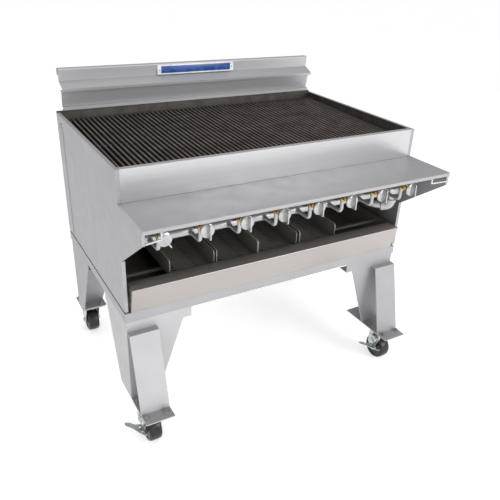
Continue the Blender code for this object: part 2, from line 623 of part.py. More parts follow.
def caster_fork(name, swivel):
    """Crown, two side plates and the axle bolt, hung from the swivel axis."""
    side_outline = ((-0.024, 0.1235), (0.040, 0.1235), (0.043, 0.100), (0.042, 0.060),
                    (0.026, 0.040), (0.012, 0.036), (0.000, 0.040), (-0.004, 0.060),
                    (-0.022, 0.105))
    centre = (0, TRAIL, WHEEL_Z)
    shapes = [box((-FORK_OUTER, FORK_OUTER), (-0.024, 0.040), (0.1205, 0.1240)),
              turned(((0.0340, 0.1230), (0.0300, CASTER_PLATE_BOTTOM - GAP)), "Z", (0, 0, 0), 20),
              prism(side_outline, "X", -FORK_OUTER, -FORK_INNER),
              prism(side_outline, "X", FORK_INNER, FORK_OUTER),
              cylinder("X", centre, AXLE_RADIUS, -0.0330, 0.0330, 14),
              cylinder("X", centre, 0.0105, FORK_OUTER - 0.0005, 0.0355, 6),
              cylinder("X", centre, 0.0105, -0.0355, -FORK_OUTER + 0.0005, 6)]
    part(name, shapes, "zinc", parent=swivel)


def caster_wheel(name, swivel):
    """Wheel with a rounded tread; its origin is on the axle."""
    profile = ((WHEEL_BORE, -0.0250), (0.0180, -0.0250), (0.0200, -0.0200), (0.0400, -0.0215),
               (0.0470, -WHEEL_HALF + 0.003), (WHEEL_RADIUS, -0.0130), (WHEEL_RADIUS, 0.0130),
               (0.0470, WHEEL_HALF - 0.003), (0.0400, 0.0215), (0.0200, 0.0200),
               (0.0180, 0.0250), (WHEEL_BORE, 0.0250))
    part(name, [turned(profile, "X", (0, 0, 0), WHEEL_SIDES, closed=True)], "tyre",
         at=(0, TRAIL, WHEEL_Z), parent=swivel, smooth=True)


def caster_brake(name, swivel):
    """Brake pedal beside the fork, pressed down; its origin is on its hinge."""
    outline = ((0.0, -0.032), (0.0, 0.020), (-0.024, 0.026), (-0.038, 0.040), (-BRAKE_REACH, 0.044),
               (-BRAKE_REACH, 0.028), (-0.034, 0.006), (-0.022, -0.018), (-0.010, -0.034))
    lug = box((-0.0025, 0.0), (-0.031, 0.020), (-0.0025, 0.001))
    pedal = part(name, [prism(outline, "Z", 0.0, 0.0025), lug], "zinc", at=BRAKE_PIVOT, parent=swivel)
    pedal.rotation_euler = (0.0, BRAKE_TILT, 0.0)


def casters(chassis):
    for end, caster_y in (("front", FRONT_CASTER_Y), ("rear", REAR_CASTER_Y)):
        for label, side in (("left", -1), ("right", 1)):
            corner = f"{end}_{label}"
            swivel = empty(f"swivel_{corner}", (side * CASTER_X, caster_y, 0), chassis)
            caster_fork(f"caster_fork_{corner}", swivel)
            caster_wheel(f"caster_wheel_{corner}", swivel)
            if end == "front":
                caster_brake(f"caster_brake_{label}", swivel)


# ---- the machine --------------------------------------------------------
def main():
    for obj in list(bpy.data.objects):
        bpy.data.objects.remove(obj)
    chassis = empty("chassis_frame", CHASSIS_AT)
    side_panel("side_panel_left", -1, chassis)
    side_panel("side_panel_right", 1, chassis)
    front_panel(chassis)
    work_shelf(chassis)
    rear_panel(chassis)
    base_frame(chassis)
    firebox_liner(chassis)
    backsplash(chassis)
    guard_rod("guard_rod_left", -1, *GUARD_LEFT, chassis)
    guard_rod("guard_rod_right", 1, *GUARD_RIGHT, chassis)
    manifold_pipe(chassis)
    gas_inlet(chassis)
    for index in range(VALVE_COUNT):
        burner_valve(index, chassis)
        control_knob(index, chassis)
    for index in range(VALVE_COUNT // 2):
        burner_twin(index, chassis)
    for index in range(GRATE_COUNT):
        cooking_grate(index, chassis)
    for index in range(len(TRAY_LEFTS)):
        log_tray(index, chassis)
    drip_pan(chassis)
    leg("leg_front_left", -1, True, chassis)
    leg("leg_front_right", 1, True, chassis)
    leg("leg_rear_left", -1, False, chassis)
    leg("leg_rear_right", 1, False, chassis)
    casters(chassis)


main()
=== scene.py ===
"""Looks of the eight-burner charbroiler: detailed pieces, materials, light and camera.

Everything is laid out in the chassis frame used by the CAD: x = 0 is the middle of the body,
y = 0 the outer face of the front panel, z = 0 the floor.  ORIGIN carries it to the world.
"""
import math
import random

import bmesh
import bpy
from mathutils import Matrix, Vector

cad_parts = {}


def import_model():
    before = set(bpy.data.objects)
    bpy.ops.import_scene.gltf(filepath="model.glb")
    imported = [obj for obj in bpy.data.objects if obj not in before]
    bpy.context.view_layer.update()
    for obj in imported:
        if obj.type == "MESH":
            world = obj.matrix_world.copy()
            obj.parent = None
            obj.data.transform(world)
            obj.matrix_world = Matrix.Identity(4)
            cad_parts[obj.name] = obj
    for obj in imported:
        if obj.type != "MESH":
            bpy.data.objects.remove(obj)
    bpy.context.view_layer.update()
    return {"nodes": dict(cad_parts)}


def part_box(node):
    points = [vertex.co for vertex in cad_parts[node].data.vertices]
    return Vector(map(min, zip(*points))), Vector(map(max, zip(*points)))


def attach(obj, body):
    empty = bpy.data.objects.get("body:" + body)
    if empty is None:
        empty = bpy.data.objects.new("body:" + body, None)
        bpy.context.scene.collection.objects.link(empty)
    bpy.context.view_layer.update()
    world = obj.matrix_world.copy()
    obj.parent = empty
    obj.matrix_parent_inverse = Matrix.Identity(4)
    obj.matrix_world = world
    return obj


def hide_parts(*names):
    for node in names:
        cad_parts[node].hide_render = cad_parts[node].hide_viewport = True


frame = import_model()
random.seed(7)

# ---- places taken from the CAD ------------------------------------------
rails_low, rails_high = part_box("base_frame")
ORIGIN = Vector(((rails_low.x + rails_high.x) / 2, rails_low.y, 0.0))
TO_WORLD = Matrix.Translation(ORIGIN)
HALF = (rails_high.x - rails_low.x) / 2
DEPTH = rails_high.y - rails_low.y


def chassis_box(node):
    """Lowest and highest corner of a CAD node in the chassis frame."""
    low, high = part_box(node)
    return low - ORIGIN, high - ORIGIN


# ---- dimensions of the detailed pieces ----------------------------------
VALVE_COUNT = 8
VALVE_Z = 0.802
TUBE_Y = -0.119
MANIFOLD_Y = -0.042
MANIFOLD_Z = 0.748
BOSS_LENGTH = 0.003
PIPE_RADIUS = 0.0134
FITTING_RADIUS = 0.0174
TEE_X = 0.446
INLET_X = 0.404
INLET_Z = 0.687
MIXER_Z = 0.796
MIXER_FRONT = -0.094
BURNER_SHOULDER_Z = 0.8068
KNOB_RADIUS = 0.0224
VALVE_FRONT = -0.142
VALVE_BACK = -0.108
ORIFICE_Y = -0.0985
STEM_FRONT = -0.1615
GRATE_COUNT = 6
BAR_COUNT = 10
GRATE_DEPTH = 0.605
GRATE_HEIGHT = 0.025
GRATE_FRONT = 0.028
GRATE_FRONT_BOTTOM = 0.890
GRATE_TILT = math.asin(0.017 / GRATE_DEPTH)
OPEN_KNOB_ANGLE = math.radians(33)
WHEEL_RADIUS = 0.0497
TRAIL = 0.012
CASTER_X = 0.501
CASTER_Y = {"front": -0.064, "rear": 0.650}
CASTER_PLATE_BOTTOM = 0.137
CROWN_BOTTOM = 0.1208
CROWN_TOP = 0.1238
CHEEK_INNER = 0.0262
CHEEK_OUTER = 0.0290
BRAKE_PIVOT = (-0.0320, -0.005, 0.0640)
BRAKE_PEDAL_TILT = math.radians(9)
FOOT_TOP = 0.145
BOLT_SPREAD = (0.0335, 0.0425)
SHELF_FRONT = -0.1945
LEG_INSET = 0.0030
PAN_LIP_BACK = 0.030
TRAY_SHEET = 0.0015


# ---- mesh building ------------------------------------------------------
def place_on(axis, a, b, t):
    return {"X": (t, a, b), "Y": (a, t, b), "Z": (a, b, t)}[axis]


def bevelled(bm, verts, width, segments=2, angle=math.radians(30)):
    """Rounds the sharp edges between the given vertices."""
    if width <= 0:
        return
    inside = set(verts)
    edges = [e for e in {e for v in verts for e in v.link_edges}
             if all(v in inside for v in e.verts) and len(e.link_faces) == 2
             and e.calc_face_angle(0) > angle]
    bmesh.ops.bevel(bm, geom=edges, offset=width, segments=segments, profile=0.6,
                    affect="EDGES", clamp_overlap=True)


def add_prism(bm, outline, axis, start, end, bevel=0.0):
    rings = [[bm.verts.new(place_on(axis, a, b, t)) for a, b in outline] for t in (start, end)]
    faces = [bm.faces.new(rings[0]), bm.faces.new(rings[1])]
    faces += bridge(bm, rings[0], rings[1])
    bmesh.ops.recalc_face_normals(bm, faces=faces)
    bevelled(bm, rings[0] + rings[1], bevel)


def add_box(bm, x_range, y_range, z_range, bevel=0.0):
    (x0, x1), (y0, y1), (z0, z1) = (sorted(r) for r in (x_range, y_range, z_range))
    add_prism(bm, ((x0, y0), (x1, y0), (x1, y1), (x0, y1)), "Z", z0, z1, bevel)


def bridge(bm, ring_a, ring_b):
    count = len(ring_a)
    return [bm.faces.new((ring_a[i], ring_a[(i + 1) % count], ring_b[(i + 1) % count], ring_b[i]))
            for i in range(count)]


def add_rings(bm, rings, capped=True, closed=False):
    """Joins rings of points into one skin."""
    made = [[bm.verts.new(p) for p in ring] for ring in rings]
    faces = []
    for ring_a, ring_b in zip(made, made[1:]):
        faces += bridge(bm, ring_a, ring_b)
    if closed:
        faces += bridge(bm, made[-1], made[0])
    elif capped:
        faces += [bm.faces.new(made[0]), bm.faces.new(made[-1])]
    bmesh.ops.recalc_face_normals(bm, faces=faces)
    return [v for ring in made for v in ring]


def add_turned(bm, profile, axis, centre, sides=32, closed=False, phase=0.0):
    """A turned shape from (radius, position) pairs along an axis."""
    angles = [2 * math.pi * k / sides + phase for k in range(sides)]
    rings = [[Vector(centre) + Vector(place_on(axis, r * math.cos(a), r * math.sin(a), t))
              for a in angles] for r, t in profile]
    return add_rings(bm, rings, closed=closed)


def add_hexagon(bm, axis, centre, across, start, end, phase=0.0):
    """A nut or bolt head with chamfered corners."""
    radius = across / 2 / math.cos(math.pi / 6)
    chamfer = 0.12 * across
    low, high = sorted((start, end))
    profile = ((radius * 0.88, low), (radius, low + chamfer / 2), (radius, high - chamfer / 2),
               (radius * 0.88, high))
    add_turned(bm, profile, axis, centre, 6, phase=phase)


def arc(centre, radius, first, last, steps):
    angles = [math.radians(first + (last - first) * i / steps) for i in range(steps + 1)]
    return [(centre[0] + radius * math.cos(a), centre[1] + radius * math.sin(a)) for a in angles]


def rounded_path(corners, radius, steps=8):
    """A 3-D path through the corners, each inner corner turned on an arc."""
    points = [Vector(c) for c in corners]
    path = [points[0]]
    for before, corner, after in zip(points, points[1:], points[2:]):
        to_before = (before - corner).normalized()
        to_after = (after - corner).normalized()
        half_angle = to_before.angle(to_after) / 2
        reach = radius / math.tan(half_angle)
        centre = corner + (to_before + to_after).normalized() * radius / math.sin(half_angle)
        start = corner + to_before * reach - centre
        turn_axis = start.cross(corner + to_after * reach - centre).normalized()
        sweep = math.pi - 2 * half_angle
        path += [centre + Matrix.Rotation(sweep * i / steps, 3, turn_axis) @ start
                 for i in range(steps + 1)]
    path.append(points[-1])
    return path


def add_tube(bm, path, radii, sides=20):
    """A round bar along a path; radii is one number or one for each point."""
    path = [Vector(p) for p in path]
    if not isinstance(radii, (list, tuple)):
        radii = [radii] * len(path)
    rings = []
    frame_x = (path[1] - path[0]).normalized().orthogonal().normalized()
    for i, (point, radius) in enumerate(zip(path, radii)):
        before = (point - path[max(i - 1, 0)]).normalized()
        after = (path[min(i + 1, len(path) - 1)] - point).normalized()
        along = (before + after).normalized()
        frame_x = (frame_x - along * frame_x.dot(along)).normalized()
        frame_y = along.cross(frame_x)
        rings.append([point + (frame_x * math.cos(a) + frame_y * math.sin(a)) * radius
                      for a in (2 * math.pi * k / sides for k in range(sides))])
    add_rings(bm, rings)


def add_weld(bm, start, end, width=0.003, step=0.0022):
    """A bead of overlapping ripples between two points."""
    start, end = Vector(start), Vector(end)
    count = max(int((end - start).length / step), 4)
    path = [start.lerp(end, i / count) for i in range(count + 1)]
    radii = [width * (0.42 + 0.10 * (i % 2) + 0.06 * random.random()) for i in range(count + 1)]
    radii[0] = radii[-1] = width * 0.15
    add_tube(bm, path, radii, 8)


def moved(bm, matrix):
    bmesh.ops.transform(bm, matrix=matrix, verts=bm.verts)


def piece(name, bm, body, material, replaces=(), matrix=TO_WORLD, sharp=35):
    """Turns a finished mesh into a named piece that rides on a body."""
    moved(bm, matrix)
    mesh = bpy.data.meshes.new(name)
    bm.to_mesh(mesh)
    bm.free()
    mesh.shade_smooth()
    mesh.set_sharp_from_angle(angle=math.radians(sharp))
    mesh.materials.append(material)
    obj = bpy.data.objects.new(name, mesh)
    bpy.context.scene.collection.objects.link(obj)
    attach(obj, body)
    if replaces:
        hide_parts(*replaces)
    return obj


# ---- materials ----------------------------------------------------------
class Nodes:
    """Short-hand for wiring one material."""

    def __init__(self, name):
        self.material = bpy.data.materials.new(name)
        self.material.use_nodes = True
        self.tree = self.material.node_tree
        self.shader = self.tree.nodes["Principled BSDF"]
        self.object_space = self.node("ShaderNodeTexCoord").outputs["Object"]

    def node(self, kind, **inputs):
        made = self.tree.nodes.new(kind)
        for key, value in inputs.items():
            self.feed(made.inputs[key.replace("_", " ")], value)
        return made

    def feed(self, socket, value):
        if isinstance(value, bpy.types.NodeSocket):
            self.tree.links.new(value, socket)
        else:
            socket.default_value = value

    def noise(self, scale, detail=3.0, stretch=(1, 1, 1), roughness=0.5):
        mapping = self.node("ShaderNodeMapping", Vector=self.object_space, Scale=stretch)
        made = self.node("ShaderNodeTexNoise", Vector=mapping.outputs["Vector"], Scale=scale,
                         Detail=detail, Roughness=roughness)
        return made.outputs["Fac"]

    def ranged(self, value, low, high, to_low, to_high):
        made = self.node("ShaderNodeMapRange", Value=value)
        for index, number in enumerate((low, high, to_low, to_high), start=1):
            made.inputs[index].default_value = number
        return made.outputs["Result"]

    def math(self, operation, a, b=0.0):
        made = self.node("ShaderNodeMath")
        made.operation = operation
        self.feed(made.inputs[0], a)
        self.feed(made.inputs[1], b)
        return made.outputs[0]

    def blend(self, factor, a, b, mode="MIX"):
        made = self.node("ShaderNodeMix")
        made.data_type = "RGBA"
        made.blend_type = mode
        self.feed(made.inputs[0], factor)
        self.feed(made.inputs[6], (*a, 1.0) if isinstance(a, tuple) else a)
        self.feed(made.inputs[7], (*b, 1.0) if isinstance(b, tuple) else b)
        return made.outputs[2]

    def shade(self, **inputs):
        for key, value in inputs.items():
            self.feed(self.shader.inputs[key.replace("_", " ")], value)

    def relief(self, height, strength, distance, edge=0.0):
        """Bump from a height, over softened edges."""
        made = self.node("ShaderNodeBump", Height=height, Strength=strength, Distance=distance)
        if edge > 0:
            rounding = self.node("ShaderNodeBevel", Radius=edge)
            rounding.samples = 4
            self.feed(made.inputs["Normal"], rounding.outputs["Normal"])
        self.shade(Normal=made.outputs["Normal"])

    def facing(self, axis):
        """One component of the surface's own normal, in object space."""
        coordinates = self.node("ShaderNodeTexCoord")
        split = self.node("ShaderNodeSeparateXYZ", Vector=coordinates.outputs["Normal"])
        return split.outputs[axis]

    def height(self):
        return self.node("ShaderNodeSeparateXYZ", Vector=self.object_space).outputs["Z"]


def scaled(colour, factor):
    return tuple(min(c * factor, 1.0) for c in colour)


def soot_mask(n, axis, sign, front_line):
    """1 on the faces that look into the firebox, behind the front panel."""
    inner = n.ranged(n.math("MULTIPLY", n.facing(axis), sign), 0.4, 0.6, 0.0, 1.0)
    split = n.node("ShaderNodeSeparateXYZ", Vector=n.object_space)
    behind = n.ranged(split.outputs["Y"], front_line + 0.001, front_line + 0.120, 0.0, 1.0)
    return n.math("MULTIPLY", inner, behind)


def enamel(name, colour, roughness=0.46, metallic=0.35, soot=None, mottling=0.05, shaded_top=None):
    """Matte silver paint on sheet: faint orange peel, mottling and handling marks.

    soot is (axis, sign, front line) for a sheet that also walls the firebox; top is a second
    colour painted on the faces that look up, as painted shade."""
    n = Nodes(name)
    mottle = n.ranged(n.noise(7.0, 4.0), 0.3, 0.7, 0.0, 1.0)
    tint = n.blend(mottle, scaled(colour, 1 - mottling), scaled(colour, 1 + mottling))
    smudge = n.ranged(n.noise(3.1, 6.0, (1, 1, 0.35)), 0.55, 0.75, 0.0, 0.25)
    tint = n.blend(smudge, tint, scaled(colour, 1 - 2.2 * mottling))
    rough = n.ranged(n.noise(22.0, 4.0), 0.3, 0.7, roughness - 0.05, roughness + 0.06)
    # painted shade: faces that look up are blended to the darker top colour
    if shaded_top:
        tint = n.blend(n.ranged(n.facing("Z"), 0.7, 0.9, 0.0, 1.0), tint, shaded_top)
    if soot:
        inner = soot_mask(n, *soot)
        grime = n.blend(n.ranged(n.noise(9.0, 6.0), 0.35, 0.7, 0.0, 1.0),
                        (0.110, 0.092, 0.080), (0.190, 0.168, 0.152))
        tint = n.blend(inner, tint, grime)
        rough = n.math("ADD", rough, n.math("MULTIPLY", inner, 0.15))
    n.shade(Base_Color=tint, Roughness=rough, Metallic=metallic)
    n.relief(n.noise(420.0, 2.0), 0.08, 0.0004, 0.0011)
    return n.material


def brushed(name, colour, roughness=0.34, grain=(2.0, 260.0, 260.0), metallic=1.0, soot=None,
            spread=0.08, shaded_top=None):
    """Stainless sheet with its grain along one direction."""
    n = Nodes(name)
    lines = n.noise(1.0, 3.0, grain, 0.7)
    broad = n.noise(2.6, 3.0, (0.5, 1.5, 1.5))
    tint = n.blend(n.ranged(lines, 0.25, 0.75, 0.0, 1.0), scaled(colour, 1 - spread),
                   scaled(colour, 1 + spread))
    tint = n.blend(n.ranged(broad, 0.35, 0.7, 0.0, 0.5), tint, scaled(colour, 0.92))
    rough = n.ranged(lines, 0.25, 0.75, roughness - 0.06, roughness + 0.08)
    # painted shade: faces that look up are blended to the darker top colour
    if shaded_top:
        tint = n.blend(n.ranged(n.facing("Z"), 0.7, 0.9, 0.0, 1.0), tint, shaded_top)
    if soot:
        inner = soot_mask(n, *soot)
        grime = n.blend(n.ranged(n.noise(8.0, 6.0), 0.35, 0.7, 0.0, 1.0),
                        (0.150, 0.118, 0.095), (0.230, 0.190, 0.160))
        tint = n.blend(inner, tint, grime)
        rough = n.math("ADD", rough, n.math("MULTIPLY", inner, 0.2))
    n.shade(Base_Color=tint, Roughness=rough, Metallic=metallic)
    n.relief(lines, 0.12, 0.0003, 0.0010)
    return n.material


def casting(name, dark, light, roughness=0.62, metallic=0.35, pits=0.5, shaded_flank=None):
    """Sand-cast iron: grainy skin, seasoning in patches; flank blackens the upright faces as painted shade
    in the gaps between bars.
    """
    n = Nodes(name)
    patch = n.ranged(n.noise(16.0, 6.0, roughness=0.65), 0.35, 0.68, 0.0, 1.0)
    tint = n.blend(patch, dark, light)
    rust = n.ranged(n.noise(38.0, 5.0), 0.62, 0.75, 0.0, 0.45)
    tint = n.blend(rust, tint, (light[0] * 1.25, light[1] * 0.92, light[2] * 0.70))
    if shaded_flank:
        # painted shade: the upright faces, down in the gaps, take the near-black flank colour
        tint = n.blend(n.ranged(n.facing("Z"), 0.15, 0.70, 0.0, 1.0), shaded_flank, tint)
    grain = n.noise(520.0, 4.0, roughness=0.7)
    n.shade(Base_Color=tint, Metallic=metallic,
            Roughness=n.ranged(patch, 0.0, 1.0, roughness + 0.10, roughness - 0.10))
    n.relief(grain, pits, 0.0008, 0.0012)
    return n.material


def plated(name, colour, second, roughness=0.28, scale=28.0, metallic=0.95, pits=0.08):
    """Bright plating whose passivation drifts between two tints."""
    n = Nodes(name)
    drift = n.ranged(n.noise(scale, 3.0), 0.35, 0.65, 0.0, 1.0)
    n.shade(Base_Color=n.blend(drift, colour, second), Metallic=metallic,
            Roughness=n.ranged(n.noise(90.0, 4.0), 0.3, 0.7, roughness - 0.06, roughness + 0.10))
    n.relief(n.noise(240.0, 3.0), pits, 0.0004, 0.0006)
    return n.material


def moulded(name, colour, roughness=0.42):
    """Dense moulded wheel compound with faint swirls and dust."""
    n = Nodes(name)
    swirl = n.ranged(n.noise(30.0, 5.0), 0.4, 0.7, 0.0, 1.0)
    dust = n.ranged(n.noise(60.0, 6.0), 0.6, 0.8, 0.0, 0.15)
    tint = n.blend(swirl, colour, scaled(colour, 1.6))
    tint = n.blend(dust, tint, (0.12, 0.11, 0.10))
    n.shade(Base_Color=tint, Roughness=n.ranged(swirl, 0, 1, roughness - 0.07, roughness + 0.1))
    n.relief(n.noise(330.0, 3.0), 0.15, 0.0004, 0.0006)
    return n.material


SILVER = (0.385, 0.385, 0.40)
STEEL = (0.585, 0.585, 0.60)
FIREBOX_FRONT = (frame["nodes"]["side_panel_left"].matrix_world.inverted() @ ORIGIN).y
REAR_SHEET_FRONT = (frame["nodes"]["rear_panel"].matrix_world.inverted() @ ORIGIN).y
paint_left = enamel("paint_left", SILVER, soot=("X", 1, FIREBOX_FRONT), mottling=0.025)
paint_right = enamel("paint_right", SILVER, soot=("X", -1, FIREBOX_FRONT), mottling=0.025)
paint = enamel("silver_paint", SILVER)
paint_shelf = enamel("shelf_paint", (0.385, 0.385, 0.40), roughness=0.46, metallic=0.30, mottling=0.015)
# painted light: the front-left leg gets a lighter copy of the silver paint, and its top colour is painted
# shade
lit_paint_leg = enamel("lit_leg_paint", (0.50, 0.50, 0.51), roughness=0.44, shaded_top=(0.35, 0.35, 0.365))
satin = brushed("satin_steel", STEEL)
splash_steel = brushed("splash_steel", (0.50, 0.50, 0.515), roughness=0.50, metallic=0.60, spread=0.04)
satin_rear = brushed("rear_steel", STEEL, soot=("Y", -1, REAR_SHEET_FRONT))
# painted shade: the drip pan's faces that look up take the darker top colour
warm = brushed("warm_steel", (0.48, 0.445, 0.430), roughness=0.36, metallic=0.8, spread=0.06,
               shaded_top=(0.30, 0.272, 0.255))
dark_joint = plated("dark_joint", (0.10, 0.095, 0.09), (0.16, 0.15, 0.14), 0.45)
rod_steel = plated("rod_steel", (0.66, 0.66, 0.67), (0.60, 0.60, 0.62), 0.34, 28.0, 0.70)
liner = casting("liner_steel", (0.070, 0.062, 0.056), (0.130, 0.118, 0.108), 0.50, 0.45, 0.12)
# painted shade: the grate bars' upright flanks are blackened
iron = casting("cast_iron", (0.092, 0.070, 0.060), (0.180, 0.147, 0.128), shaded_flank=(0.016, 0.012, 0.010))
# painted shade: near-black plates that fill the tray slots from below
slot_shadow_black = moulded("slot_shadow_black", (0.008, 0.007, 0.006), 0.80)
burner_iron = casting("burner_iron", (0.030, 0.026, 0.024), (0.080, 0.068, 0.060))
tray = brushed("tray_steel", (0.20, 0.188, 0.165), roughness=0.50, metallic=0.35, grain=(220.0, 4.0, 220.0))
tray_edge = plated("tray_edge_steel", (0.74, 0.73, 0.70), (0.60, 0.59, 0.56), 0.36, 60.0, 0.55)
# painted shade: a dark copy of the pan steel for the sheet laid on the pan's lip
shaded_lip_steel = brushed("shaded_lip_steel", (0.24, 0.220, 0.205), roughness=0.42, metallic=0.25, spread=0.05)
brass = plated("brass", (0.60, 0.40, 0.15), (0.48, 0.30, 0.10), 0.30, 60.0)
chrome = plated("chrome", (0.50, 0.50, 0.51), (0.44, 0.44, 0.45), 0.24, 8.0, 0.60, 0.0)
zinc = plated("zinc", (0.52, 0.58, 0.62), (0.60, 0.62, 0.56), 0.30, 34.0)
pipe_paint = enamel("pipe_paint", (0.46, 0.46, 0.47), roughness=0.42, metallic=0.6)
bolt_steel = plated("bolt_steel", (0.30, 0.31, 0.32), (0.40, 0.40, 0.39), 0.42, 60.0)
rubber = moulded("wheel_compound", (0.0075, 0.0062, 0.0058), 0.32)
weld_metal = plated("weld_metal", (0.44, 0.44, 0.45), (0.36, 0.35, 0.35), 0.42, 90.0)
white_enamel = moulded("white_enamel", (0.74, 0.74, 0.76), 0.30)
blue_enamel = moulded("blue_enamel", (0.020, 0.068, 0.260), 0.28)

CAD_FINISHES = {
    "side_panel_left": paint_left, "side_panel_right": paint_right, "front_panel": satin,
    "work_shelf": paint_shelf, "rear_panel": satin_rear, "base_frame": paint,
    "firebox_liner": liner, "backsplash_upper": splash_steel, "backsplash_lower": splash_steel,
    # the front-left leg wears the lighter painted-light copy of the leg paint
    "drip_pan": warm, "leg_front_left": lit_paint_leg, "leg_front_right": paint,
    "leg_rear_left": paint, "leg_rear_right": paint,
}
for number in range(1, 5):
    CAD_FINISHES[f"burner_twin_{number}"] = burner_iron
for node_name, finish in CAD_FINISHES.items():
    for material_slot in frame["nodes"][node_name].material_slots:
        material_slot.material = finish


# ---- cooking grates and log trays ---------------------------------------
def grate(number):
    """Ten tapered bars with rounded crests on three lower cross ribs."""
    low, high = chassis_box(f"cooking_grate_{number}")
    pitch = (high.x - low.x) / BAR_COUNT
    section = ((-0.0032, 0.0), (0.0032, 0.0), (0.0046, 0.0190), (0.0044, 0.0225), (0.0030, 0.0246),
               (0.0, GRATE_HEIGHT), (-0.0030, 0.0246), (-0.0044, 0.0225), (-0.0046, 0.0190))
    stations = ((0.0, 0.80, 0.78), (0.002, 0.94, 0.93), (0.006, 1.0, 1.0))
    along = [(y, w, h) for y, w, h in stations]
    along += [(GRATE_DEPTH * k / 6, 1.0, 1.0) for k in range(1, 6)]
    along += [(GRATE_DEPTH - y, w, h) for y, w, h in reversed(stations)]
    bm = bmesh.new()
    for bar in range(BAR_COUNT):
        centre = (bar + 0.5) * pitch
        wander = random.uniform(-0.0002, 0.0002)
        add_rings(bm, [[(centre + wander + x * w, y, z * h) for x, z in section]
                       for y, w, h in along])
    for y in (0.006, GRATE_DEPTH / 2 - 0.006, GRATE_DEPTH - 0.018):
        add_box(bm, (0.0008, high.x - low.x - 0.0008), (y, y + 0.012), (0.001, 0.0165), 0.0015)
    tilt = Matrix.Rotation(GRATE_TILT, 4, "X")
    to_place = Matrix.Translation(ORIGIN + Vector((low.x, GRATE_FRONT, GRATE_FRONT_BOTTOM)))
    piece(f"grate_casting_{number}", bm, f"grate_{number}", iron,
          [f"cooking_grate_{number}"], to_place @ tilt)


def log_tray(number):
    """Floor with two rows of slots closed below by thin black plates as painted shade, two round-cornered
    walls and hemmed edges.
    """
    low, high = chassis_box(f"log_tray_{number}")
    body = f"tray_{number}"
    thickness = TRAY_SHEET
    width = high.x - low.x
    slot_x = ((0.016, 0.034), (0.098, 0.116))
    slot_pitch, slot_length = 0.0165, 0.0070
    xs = [0.0] + [edge for span in slot_x for edge in span] + [width]
    ys = [low.y]
    slot_y = low.y + 0.012
    while slot_y + slot_pitch < high.y:
        ys += [slot_y, slot_y + slot_length]
        slot_y += slot_pitch
    ys.append(high.y)
    bm = bmesh.new()
    grid = [[bm.verts.new((low.x + x, y, low.z + thickness)) for y in ys] for x in xs]
    faces = []
    for i in range(len(xs) - 1):
        for j in range(len(ys) - 1):
            if i % 2 == 1 and j % 2 == 1:
                continue
            faces.append(bm.faces.new((grid[i][j], grid[i + 1][j], grid[i + 1][j + 1], grid[i][j + 1])))
    bm.normal_update()
    bmesh.ops.solidify(bm, geom=faces, thickness=thickness)
    bmesh.ops.recalc_face_normals(bm, faces=bm.faces)
    # painted shade: a thin black plate inside each slot stands in for the dark under the tray floor
    slot_shadow_fills = bmesh.new()
    for x0, x1 in slot_x:
        for start, end in zip(ys[1:-1:2], ys[2:-1:2]):
            add_box(slot_shadow_fills, (low.x + x0, low.x + x1), (start, end), (low.z + 0.0001, low.z + 0.0006))
    piece(f"log_tray_slot_shadows_{number}", slot_shadow_fills, body, slot_shadow_black)
    corner = 0.012
    wall = [(high.y, low.z), (high.y, high.z)]
    wall += arc((low.y + corner, high.z - corner), corner, 90, 180, 8)
    wall.append((low.y, low.z))
    for x in (low.x, high.x - thickness):
        add_prism(bm, wall, "X", x, x + thickness)
    piece(f"log_tray_sheet_{number}", bm, body, tray, [f"log_tray_{number}"], sharp=20)
    hems = bmesh.new()
    for x in (low.x + thickness / 2, high.x - thickness / 2):
        edge = [(x, y, z) for y, z in
                [(low.y + 0.0008, low.z + 0.001)] + list(reversed(wall[2:-1])) + [(low.y + 0.09, high.z)]]
        add_tube(hems, edge, 0.0010, 8)
    add_tube(hems, [(low.x, low.y + 0.0010, low.z + 0.0012), (high.x, low.y + 0.0010, low.z + 0.0012)],
             0.0009, 8)
    piece(f"log_tray_hem_{number}", hems, body, tray_edge)


# ---- gas train ----------------------------------------------------------
def valve_x(number):
    low, high = chassis_box(f"burner_valve_{number}")
    return (low.x + high.x) / 2


def knob(number):
    """Round shallow-domed disc with a thin grip plate standing across it."""
    bm = bmesh.new()
    dome = ((0.93, 0.0), (0.985, -0.0005), (1.0, -0.0018), (1.0, -0.0044), (0.985, -0.0056),
            (0.94, -0.0068), (0.82, -0.0082), (0.64, -0.0094), (0.42, -0.0102), (0.20, -0.0106),
            (0.04, -0.0107))
    add_turned(bm, [(KNOB_RADIUS * r, y) for r, y in dome], "Y", (0, 0, 0), 48)
    grip = ((-0.0030, 0.0205), (-0.0150, 0.0214), (-0.0205, 0.0212), (-0.0238, 0.0196),
            (-0.0252, 0.0165), (-0.0258, 0.0), (-0.0264, -0.0180), (-0.0258, -0.0212),
            (-0.0235, -0.0226), (-0.0190, -0.0225), (-0.0030, -0.0205))
    add_prism(bm, grip, "X", -0.0021, 0.0021, 0.0009)
    turn = Matrix.Rotation(-OPEN_KNOB_ANGLE, 4, "Y") if number == 1 else Matrix.Identity(4)
    back = chassis_box(f"control_knob_{number}")[1].y
    spot = Matrix.Translation(ORIGIN + Vector((valve_x(number), back, VALVE_Z)))
    piece(f"knob_casting_{number}", bm, f"knob_{number}", chrome,
          [f"control_knob_{number}"], spot @ turn)


